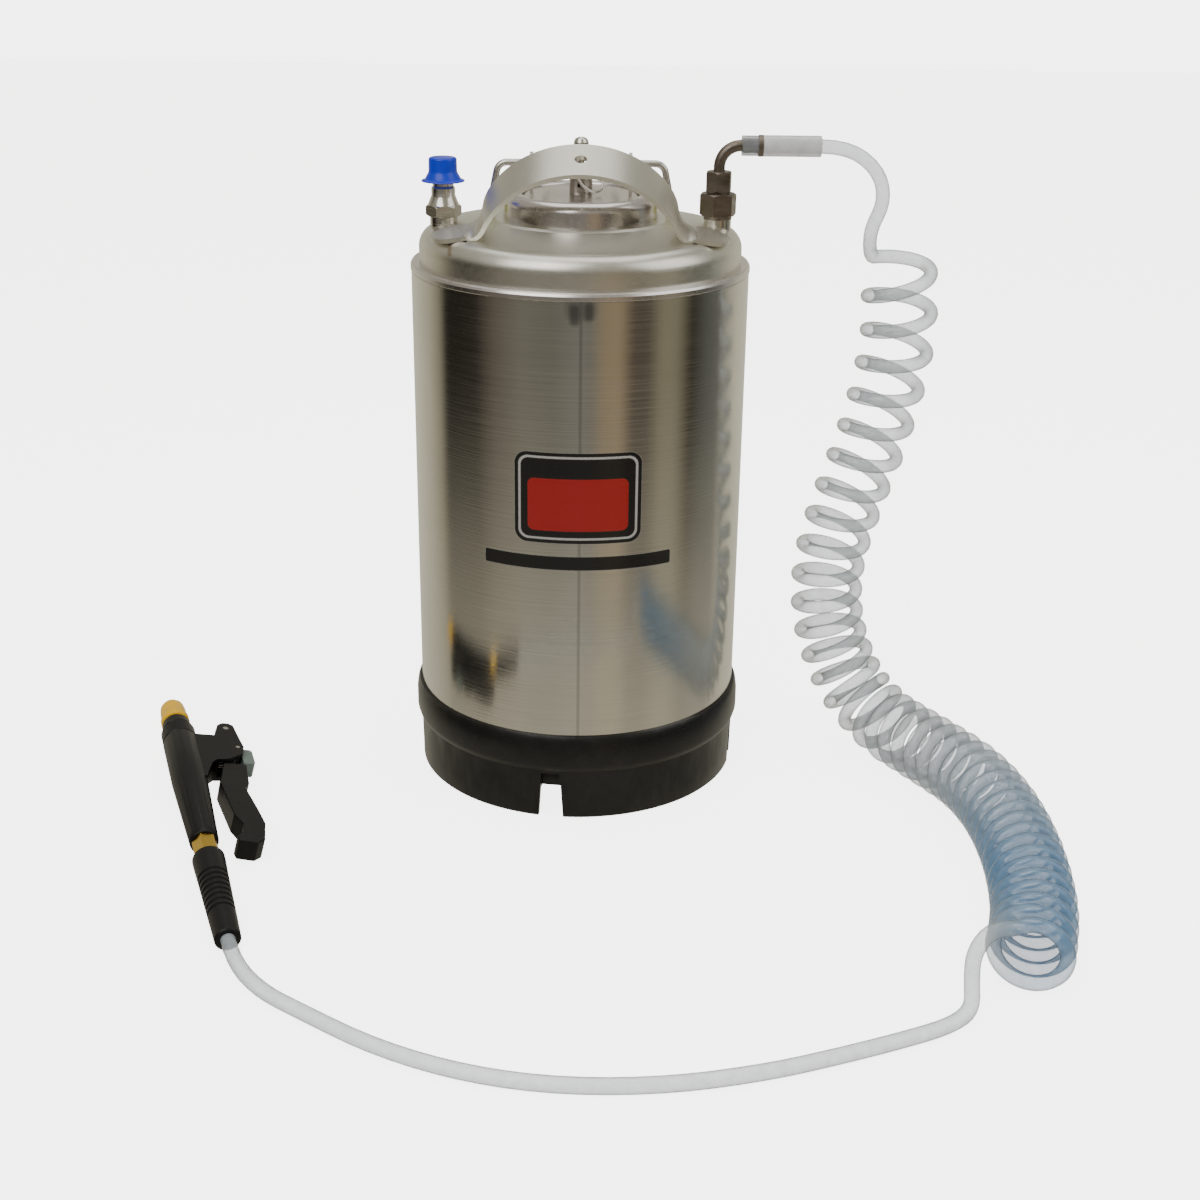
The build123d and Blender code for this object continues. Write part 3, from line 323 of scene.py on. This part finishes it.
beyond = []
for axis, centre, half in (("X", "Centre X", "Half Width"), ("Z", "Centre Z", "Half Height")):
    offset = arithmetic(patch, "SUBTRACT", parts.outputs[axis], into.outputs[centre])
    away = arithmetic(patch, "ABSOLUTE", offset)
    inner = arithmetic(patch, "SUBTRACT", into.outputs[half], into.outputs["Corner"])
    beyond.append(arithmetic(patch, "MAXIMUM", arithmetic(patch, "SUBTRACT", away, inner), value=0.0))
squares = [arithmetic(patch, "POWER", d, value=2.0) for d in beyond]
distance = arithmetic(patch, "SQRT", arithmetic(patch, "ADD", *squares))
outside = arithmetic(patch, "SUBTRACT", distance, into.outputs["Corner"])
faded = put(patch, "ShaderNodeMapRange", outside, **{"To Min": 1.0, "To Max": 0.0})
patch.links.new(into.outputs["Soft"], faded.inputs["From Max"])
front = arithmetic(patch, "LESS_THAN", parts.outputs["Y"], value=0.0)
patch.links.new(arithmetic(patch, "MULTIPLY", faded.outputs[0], front), out.inputs["Mask"])
print("group", patch.name, "is ready")


def ink(material, centre, half, corner, colour, printed=False, soft=0.0005, strength=1.0):
    """Lay a patch of colour over what a steel already shows. Printed ink also hides the metal."""
    tree = material.node_tree
    shader = tree.nodes["Principled BSDF"]
    spot = put(tree, "ShaderNodeGroup", node_tree=patch)
    for label, value in (("Centre X", centre[0]), ("Centre Z", centre[1]), ("Half Width", half[0]),
                         ("Half Height", half[1]), ("Corner", corner), ("Soft", soft)):
        spot.inputs[label].default_value = value
    mask = arithmetic(tree, "MULTIPLY", spot.outputs["Mask"], value=strength)
    before = shader.inputs["Base Color"].links[0].from_socket
    tree.links.new(blend_colours(tree, mask, before, colour), shader.inputs["Base Color"])
    if printed:
        metal = shader.inputs["Metallic"]
        under = metal.links[0].from_socket if metal.links else None
        less = put(tree, "ShaderNodeMath", under, None, operation="SUBTRACT", use_clamp=True)
        if under is None:
            less.inputs[0].default_value = 1.0
        tree.links.new(mask, less.inputs[1])
        tree.links.new(less.outputs[0], metal)


# %% [markdown]
# The marks are laid on in order, so that each one covers those before it. Places and half sizes are in
# metres across and up the front of the tank.

# %% Label, weld and rust
LABEL_RED, LABEL_DARK, LABEL_PALE = (0.33, 0.012, 0.010), (0.010, 0.009, 0.009), (0.42, 0.41, 0.39)
ink(shell_steel, (0.001, 0.2), (0.0005, 0.17), 0.0003, (0.36, 0.35, 0.32), soft=0.0010, strength=0.6)
ink(shell_steel, (0.001, 0.357), (0.007, 0.0045), 0.003, (0.30, 0.29, 0.28), soft=0.005, strength=0.6)
ink(shell_steel, (-0.003, 0.353), (0.0015, 0.005), 0.001, (0.12, 0.12, 0.12), soft=0.003, strength=0.6)
ink(shell_steel, (0.006, 0.355), (0.0012, 0.004), 0.001, (0.14, 0.14, 0.14), soft=0.003, strength=0.6)
ink(shell_steel, (0.0, 0.233), (0.041, 0.0305), 0.008, LABEL_DARK, printed=True)
ink(shell_steel, (0.0, 0.233), (0.0385, 0.028), 0.006, LABEL_PALE, printed=True)
ink(shell_steel, (0.0, 0.233), (0.037, 0.0265), 0.005, LABEL_DARK, printed=True)
ink(shell_steel, (0.0, 0.2285), (0.0325, 0.0175), 0.004, LABEL_RED, printed=True)
ink(shell_steel, (0.0, 0.1885), (0.061, 0.0045), 0.001, LABEL_DARK, printed=True)
ink(deck_steel, (-0.0835, 0.3835), (0.0004, 0.0022), 0.0003, (0.30, 0.15, 0.05), soft=0.0018, strength=0.55)
print("label and marks laid on", shell_steel.name, "and", deck_steel.name)

# %% [markdown]
# Moulded rubber and plastic are never perfectly even: a fine pebble and faint dust break up the shine.
# The same small group serves the boot, the gun and the caps, each with its own scale.

# %% Node group: moulded surface
moulded, into, out = group("moulded_surface", [("Size", FLOAT, 400.0), ("Dust", FLOAT, 0.2)],
                           [("Pebble", FLOAT), ("Dusting", FLOAT)])
place = put(moulded, "ShaderNodeTexCoord")
pebble = put(moulded, "ShaderNodeTexNoise", place.outputs["Object"], Detail=2.0)
moulded.links.new(into.outputs["Size"], pebble.inputs["Scale"])
smudge = put(moulded, "ShaderNodeTexNoise", place.outputs["Object"], Scale=26.0, Detail=6.0, Roughness=0.7)
ramp = put(moulded, "ShaderNodeMapRange", smudge.outputs[0], **{"From Min": 0.42, "From Max": 0.78})
dusting = put(moulded, "ShaderNodeMath", ramp.outputs[0], into.outputs["Dust"], operation="MULTIPLY")
moulded.links.new(pebble.outputs[0], out.inputs["Pebble"])
moulded.links.new(dusting.outputs[0], out.inputs["Dusting"])


PEBBLE_DEPTH = 0.0003
DUST_SHARE, DUST_TONE = 0.6, 0.16    # dust takes a colour this far towards grey


def plastic(name, colour, roughness, size=400.0, dust=0.2, bump=0.12, **more):
    """Moulded rubber or plastic with a pebble and a little dust."""
    made = finish(name, colour, roughness, **more)
    tree = made.node_tree
    shader = tree.nodes["Principled BSDF"]
    surface = put(tree, "ShaderNodeGroup", node_tree=moulded)
    surface.inputs["Size"].default_value = size
    surface.inputs["Dust"].default_value = dust
    tone = put(tree, "ShaderNodeMix", data_type="RGBA")
    tree.links.new(surface.outputs["Dusting"], tone.inputs[0])
    tone.inputs[6].default_value = (*colour, 1)
    tone.inputs[7].default_value = (*[DUST_SHARE * c + DUST_TONE for c in colour], 1)
    tree.links.new(tone.outputs[2], shader.inputs["Base Color"])
    raised = put(tree, "ShaderNodeBump", Strength=bump, Distance=PEBBLE_DEPTH)
    tree.links.new(surface.outputs["Pebble"], raised.inputs["Height"])
    tree.links.new(raised.outputs[0], shader.inputs["Normal"])
    return made


rubber = plastic("boot_rubber", (0.006, 0.0055, 0.005), 0.34, dust=0.07, specular_ior_level=0.40)
gun_black = plastic("gun_black", (0.004, 0.004, 0.0045), 0.42, size=900, dust=0.03, specular_ior_level=0.28)
blue_cap = plastic("blue_cap", (0.0, 0.028, 0.62), 0.32, dust=0.03)
yellow_tip = plastic("yellow_tip", (0.98, 0.56, 0.0), 0.36, dust=0.03)
lock_grey = plastic("lock_grey", (0.16, 0.21, 0.19), 0.42)
green_foot = plastic("foot_rubber", (0.55, 0.56, 0.18), 0.45)
print("plastics", rubber.name, gun_black.name, blue_cap.name, yellow_tip.name)

# %% [markdown]
# A clear hose is a thin wall of soft plastic round air. Full glass would bend light as if it were a
# solid rod, so the wall is drawn as partly see-through instead: nearly clear where the eye looks
# straight through it and darker along both edges, where it looks along the wall.

# %% Clear hose
RIPPLE_SCALE, RIPPLE_DEPTH, RIPPLE_STRENGTH = 160.0, 0.0008, 0.45
RIPPLE_SHADE = 0.62     # how far a ripple darkens the wall


def clear_plastic(name, middle, edge, through, roughness=0.08, sharp=3.0):
    """See-through wall whose edges turn darker and denser."""
    made = finish(name, middle, roughness, ior=1.45, coat_weight=0.6)
    tree = made.node_tree
    shader = tree.nodes["Principled BSDF"]
    look = put(tree, "ShaderNodeLayerWeight", Blend=0.5)
    rim = put(tree, "ShaderNodeMath", look.outputs["Facing"], operation="POWER")
    rim.inputs[1].default_value = sharp
    ripple = put(tree, "ShaderNodeTexNoise", put(tree, "ShaderNodeTexCoord").outputs["Object"],
                 Scale=RIPPLE_SCALE, Detail=2.0)
    tone = blend_colours(tree, ripple.outputs[0], tuple(RIPPLE_SHADE * c for c in middle), middle)
    tone = blend_colours(tree, rim.outputs[0], tone, edge)
    tree.links.new(tone, shader.inputs["Base Color"])
    density = put(tree, "ShaderNodeMapRange", rim.outputs[0], **{"To Min": through})
    tree.links.new(density.outputs[0], shader.inputs["Alpha"])
    waves = put(tree, "ShaderNodeBump", Strength=RIPPLE_STRENGTH, Distance=RIPPLE_DEPTH)
    tree.links.new(ripple.outputs[0], waves.inputs["Height"])
    tree.links.new(waves.outputs[0], shader.inputs["Normal"])
    return made


hose_clear = clear_plastic("clear_hose", (0.72, 0.79, 0.84), (0.015, 0.025, 0.035), 0.56, sharp=2.3)
sleeve_frost = clear_plastic("frosted_sleeve", (0.93, 0.93, 0.96), (0.50, 0.51, 0.53), 0.80, 0.4)
cuff_clear = clear_plastic("cuff_plastic", (0.30, 0.31, 0.32), (0.06, 0.065, 0.07), 0.70, 0.15)

# Turns that lie close together look bluer and darker, because light passes through several walls. That
# is painted shade, a blue darkening laid on here by place: low down, in front and at the outer side,
# where the coil lies.
wires = hose_clear.node_tree
clear_shader = wires.nodes["Principled BSDF"]
spot = put(wires, "ShaderNodeSeparateXYZ", put(wires, "ShaderNodeTexCoord").outputs["Object"])
along_floor = put(wires, "ShaderNodeMapRange", spot.outputs["Y"], **{"From Min": -0.06, "From Max": -0.24})
beside = put(wires, "ShaderNodeMapRange", spot.outputs["X"], **{"From Min": 0.235, "From Max": 0.262})
lowdown = put(wires, "ShaderNodeMapRange", spot.outputs["Z"], **{"From Min": 0.075, "From Max": 0.05})
blue = put(wires, "ShaderNodeMath", along_floor.outputs[0], beside.outputs[0], operation="MULTIPLY")
blue = put(wires, "ShaderNodeMath", blue.outputs[0], lowdown.outputs[0], operation="MULTIPLY")
before = clear_shader.inputs["Base Color"].links[0].from_socket
# Painted shade: the wall colour is multiplied by blue where the turns lie stacked.
stack_shade_tint = put(wires, "ShaderNodeMix", blue.outputs[0], data_type="RGBA", blend_type="MULTIPLY")
wires.links.new(before, stack_shade_tint.inputs[6])
stack_shade_tint.inputs[7].default_value = (0.36, 0.62, 0.92, 1)
wires.links.new(stack_shade_tint.outputs[2], clear_shader.inputs["Base Color"])
print("hose finish", hose_clear.name)

# %% [markdown]
# Each CAD piece is listed once, under the finish that it takes. The print at the end shows whether any
# piece was forgotten.

# %% Give every CAD piece its finish
FINISHES = {
    shell_steel: "tank_shell",
    bright: "bottom_head gas_post gas_boss liquid_boss gas_tube relief_nut relief_stem valve_stem "
            "gas_poppet",
    worn: "relief_body",
    polished: "opening_collar seam_bead lid_plate",
    deck_steel: "top_head",
    satin: "carry_handle hinge_ears",
    wire_steel: "bail pull_ring trigger_pin lock_pin gas_poppet_spring relief_spring valve_spring",
    stained: "liquid_adapter swivel_nut elbow_tube crimp_band",
    brass: "inlet_fitting swirl_core",
    rubber: "rubber_boot lid_gasket relief_seal gas_post_oring dip_tube_oring inlet_oring "
            "nozzle_oring stem_seal",
    gun_black: "gun_body valve_plug trigger_lever nozzle_collar valve_seat valve_gland bend_guard",
    blue_cap: "dust_cap",
    yellow_tip: "nozzle_tip",
    lock_grey: "trigger_lock",
    green_foot: "bail_feet",
    sleeve_frost: "strain_sleeve",
    cuff_clear: "hose_cuff",
    hose_clear: "hose_root gun_hose_end hose_lead hose_coil_hanging hose_coil_laid hose_tail dip_tube",
}
finished = set()
for material, names in FINISHES.items():
    for name in names.split():
        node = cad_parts[name]
        node.data.materials.clear()
        node.data.materials.append(material)
        finished.add(name)
print("finished", len(finished), "of", len(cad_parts), "missing", set(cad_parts) - finished)

# %% [markdown]
# A moulded or turned edge is never knife-sharp: it has a small round that catches the light. The CAD
# nodes keep their meshes, and modifiers round them. Their triangles are first joined and merged into
# flat faces, because a bevel needs whole faces on both sides of an edge.

# %% Round the hard edges
SOFT_EDGES = {0.0009: "trigger_lever trigger_lock gun_body", 0.0005: "valve_plug liquid_adapter swivel_nut "
              "inlet_fitting relief_body gas_post", 0.0006: "rubber_boot dust_cap"}
MERGE_WITHIN = 0.00001
FLAT_WITHIN, SHARP_FROM = math.radians(0.6), math.radians(32)
for width, names in SOFT_EDGES.items():
    for name in names.split():
        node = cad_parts[name]
        join = node.modifiers.new("join", "WELD")
        join.merge_threshold = MERGE_WITHIN
        flat = node.modifiers.new("flat", "DECIMATE")
        flat.decimate_type = "DISSOLVE"
        flat.angle_limit = FLAT_WITHIN
        edge = node.modifiers.new("round", "BEVEL")
        edge.width = width
        edge.segments = 2
        edge.limit_method = "ANGLE"
        edge.angle_limit = SHARP_FROM
        edge.harden_normals = True
print("rounded", sum(len(names.split()) for names in SOFT_EDGES.values()), "nodes")

# %% [markdown]
# The yellow tip is a fat moulded stub with a rounded end and a small spray hole. A lathe shape is made
# by drawing half of its outline and spinning it. It is made upright and then laid on the gun's axis,
# which runs from the inlet to the tip.

# %% Spray tip
GUN_FROM = Vector((-0.2076, -0.2858, 0.0095))
GUN_ALONG = Vector((-0.317156, 0.945256, 0.076837))
TIP_OUTLINE = [(0.0044, 0.268), (0.0098, 0.268), (0.0102, 0.2685), (0.0101, 0.2745), (0.0094, 0.2755),
               (0.0092, 0.285), (0.0086, 0.2905), (0.0072, 0.2935), (0.0048, 0.2946), (0.0016, 0.2946),
               (0.0014, 0.2936)]


def turned_piece(name, outline, slices=48):
    """Solid turned from (radius, height) points, laid along the gun."""
    bm = bmesh.new()
    ring = [bm.verts.new((r, 0, z)) for r, z in outline]
    edges = [bm.edges.new(pair) for pair in zip(ring, ring[1:])]
    bmesh.ops.spin(bm, geom=ring + edges, cent=(0, 0, 0), axis=(0, 0, 1), angle=2 * math.pi,
                   steps=slices, use_merge=True)
    rims = [edge for edge in bm.edges if edge.is_boundary]
    bmesh.ops.holes_fill(bm, edges=rims, sides=0)
    bmesh.ops.remove_doubles(bm, verts=bm.verts, dist=0.000001)
    bmesh.ops.recalc_face_normals(bm, faces=bm.faces)
    turn = GUN_ALONG.to_track_quat("Z", "Y").to_matrix()
    bmesh.ops.rotate(bm, verts=bm.verts, cent=(0, 0, 0), matrix=turn)
    bmesh.ops.translate(bm, verts=bm.verts, vec=GUN_FROM)
    piece = add_mesh(name, bm)
    for face in piece.data.polygons:
        face.use_smooth = True
    return piece


tip = turned_piece("spray_tip", TIP_OUTLINE)
tip.data.materials.append(yellow_tip)
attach(tip, "nozzle")
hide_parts("nozzle_tip")
print("tip", len(tip.data.polygons), "faces")

# %% [markdown]
# The hose is one length of tube from the sleeve to the gun. Its plain stretches follow listed points. The
# coiled stretch is a helix wound round a line that hangs, turns and lies on the floor, so its turns are
# worked out: the line is walked in small steps, a pair of directions square to it is carried along, and
# the hose circles round them.

# %% Route of the hose
HOSE_R = 0.00475
TURN_R = 0.0217         # from the middle of the coil to the middle of the hose
POINTS_A_TURN = 18
START_ANGLE = math.pi   # the first turn starts on the tank's side of the coil
ROUTE_FINENESS, HOSE_FINENESS = 24, 4
HOSE_ROUNDNESS = 5
# (metres along the coil, metres between turns): the coil is stretched at the top and close on the floor.
PITCHES = [(0.0, 0.027), (0.23, 0.0215), (0.33, 0.0165), (0.42, 0.0143), (0.8, 0.0143)]
LEAD = [(159, 0, 442.8), (178, 0, 442.8), (199, 0, 427), (204, 0, 407), (195, 0, 388)]
HANG = [(215, 0, 372), (221, 2, 334), (218, 4, 290), (208, 6, 242), (193, 8, 194),
        (183, 12, 150), (183, 15, 112), (191, 15, 78), (207, 9, 45), (229, -14, 27.2),
        (242.5, -37.4, 27.02)]
LAID = [(259, -66, 26.8), (276, -98, 26.8), (286, -143, 26.8),
        (288, -195, 26.8), (284, -245, 26.8), (276, -290, 26.8), (263.7, -325.3, 26.8)]
TAIL = [(253.5, -327.3, 47.5), (238, -331.5, 49), (228.5, -335.5, 36), (228, -340, 20),
        (228, -349, 7.5), (214, -361, 4.9), (185, -374.5, 4.8), (148, -389.5, 4.8),
        (105, -405, 4.8), (50, -417, 4.8), (-8, -418, 4.8), (-60, -407, 4.8),
        (-110, -384, 4.8), (-155, -351, 4.8), (-180.5, -333, 5.9), (-200.6, -306.6, 7.8),
        (-207.6, -285.8, 9.5)]


def metres(points):
    """The same points in metres, from millimetres."""
    return [Vector(p) / 1000 for p in points]


def nurbs_line(name, points, fineness):
    """Curve through a route: an open NURBS spline with its order and ends set after its points."""
    data = bpy.data.curves.new(name, "CURVE")
    data.dimensions = "3D"
    data.resolution_u = fineness
    spline = data.splines.new("NURBS")
    spline.points.add(len(points) - 1)
    for knot, point in zip(spline.points, points):
        knot.co = (*point, 1)
    spline.order_u = 3
    spline.use_endpoint_u = True
    return bpy.data.objects.new(name, data)


def read_line(curve):
    """Points along a curve that has no bevel, as Blender itself works them out."""
    bpy.context.scene.collection.objects.link(curve)
    bpy.context.view_layer.update()
    mesh = bpy.data.meshes.new_from_object(curve)
    line = [vertex.co.copy() for vertex in mesh.vertices]
    bpy.data.meshes.remove(mesh)
    bpy.context.scene.collection.objects.unlink(curve)
    return line


def pitch_at(distance):
    """Distance between turns at a place along the coil."""
    for (a, low), (b, high) in zip(PITCHES, PITCHES[1:]):
        if distance <= b:
            return low + (high - low) * (distance - a) / (b - a)
    return PITCHES[-1][1]


coil_route = nurbs_line("coil_route", metres(HANG + LAID), ROUTE_FINENESS)
axis_line = read_line(coil_route)
bpy.data.objects.remove(coil_route)
print("coil line", len(axis_line), "points")

# %% [markdown]
# The line is walked from the top. The turns are then stretched a little, so that the last one ends
# where the tail leaves the coil.

# %% Wind the helix
def carried_frames(line):
    """(point, along, first, second) at each point, the pair turning as little as it can."""
    first = Vector((1, 0, 0))
    frames = []
    for i, point in enumerate(line):
        along = (line[min(i + 1, len(line) - 1)] - line[max(i - 1, 0)]).normalized()
        first = (first - along * first.dot(along)).normalized()
        frames.append((point, along, first.copy(), along.cross(first)))
    return frames


frames = carried_frames(axis_line)
angles = [START_ANGLE]
travelled = 0.0
for a, b in zip(axis_line, axis_line[1:]):
    step = (b - a).length
    angles.append(angles[-1] + 2 * math.pi * step / pitch_at(travelled))
    travelled += step
end_point, _, end_first, end_second = frames[-1]
leaving = metres(TAIL)[0] - end_point
wanted = math.atan2(leaving.dot(end_second), leaving.dot(end_first))
whole_turns = round((angles[-1] - wanted) / (2 * math.pi))
last_angle = wanted + 2 * math.pi * whole_turns
stretching = (last_angle - START_ANGLE) / (angles[-1] - START_ANGLE)
angles = [START_ANGLE + (a - START_ANGLE) * stretching for a in angles]

# A spline of order three cuts its corners, so the corners stand a little outside the turn.
corner_r = TURN_R / math.cos(math.pi / POINTS_A_TURN)
helix = []
steps = int((angles[-1] - START_ANGLE) / (2 * math.pi) * POINTS_A_TURN)
at = 0
for k in range(1, steps):
    angle = START_ANGLE + (angles[-1] - START_ANGLE) * k / steps
    while at < len(angles) - 2 and angles[at + 1] < angle:
        at += 1
    t = (angle - angles[at]) / (angles[at + 1] - angles[at])
    (p0, _, f0, s0), (p1, _, f1, s1) = frames[at], frames[at + 1]
    centre, first, second = p0.lerp(p1, t), f0.lerp(f1, t).normalized(), s0.lerp(s1, t).normalized()
    helix.append(centre + (first * math.cos(angle) + second * math.sin(angle)) * corner_r)
print("coil line", round(travelled, 3), "m, turns", round((angles[-1] - START_ANGLE) / (2 * math.pi), 1))

# %% [markdown]
# The lead, the turns and the tail are joined into one spline, so that the hose has no seam. The points
# along it are read before it is given a thickness.

# %% The hose as one curve
hose_points = metres(LEAD) + helix[1:] + metres(TAIL)
hose = nurbs_line("hose", hose_points, HOSE_FINENESS)
along_hose = read_line(hose)
hose.data.bevel_depth = HOSE_R
hose.data.bevel_resolution = HOSE_ROUNDNESS
hose.data.use_fill_caps = True
bpy.context.scene.collection.objects.link(hose)
hose.data.materials.append(hose_clear)
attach(hose, "tank")
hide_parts("hose_lead", "hose_coil_hanging", "hose_coil_laid", "hose_tail")
